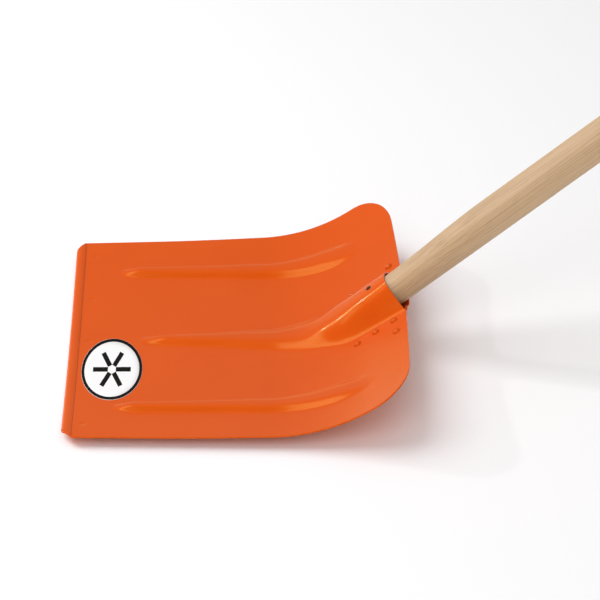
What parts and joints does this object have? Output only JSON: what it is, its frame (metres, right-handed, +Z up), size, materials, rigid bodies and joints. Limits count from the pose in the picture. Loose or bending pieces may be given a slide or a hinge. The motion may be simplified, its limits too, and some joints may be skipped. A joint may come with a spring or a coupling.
{
  "type": "snow shovel",
  "caption": "Wide pressed-steel snow shovel: dished pan with curled rear wall, ribs, folded cutting edge, riveted socket and a long straight wooden handle.",
  "frame": {"origin": "middle of the cutting edge, on the ground under it", "axes": "+X from the cutting edge to the handle, +Y across the blade, +Z up with the pan lying on the ground"},
  "size_m": [1.3042, 0.4212, 0.8808],
  "materials": {
    "painted_blade": "glossy orange enamel",
    "painted_edge": "glossy orange enamel",
    "painted_socket": "glossy orange enamel",
    "painted_rivet": "glossy orange enamel",
    "handle_wood": "smooth pale hardwood",
    "screw_steel": "dark oxide",
    "label_vinyl": "smooth vinyl"
  },
  "bodies": {
    "root": {"blade": "painted_blade", "cutting_edge": "painted_edge", "socket_plate": "painted_socket", "rivet_1": "painted_rivet", "rivet_2": "painted_rivet", "rivet_3": "painted_rivet", "rivet_4": "painted_rivet", "rivet_5": "painted_rivet", "rivet_6": "painted_rivet", "rivet_7": "painted_rivet", "rivet_8": "painted_rivet", "handle": "handle_wood", "handle_screw": "screw_steel", "label": "label_vinyl"}
  },
  "joints": []
}
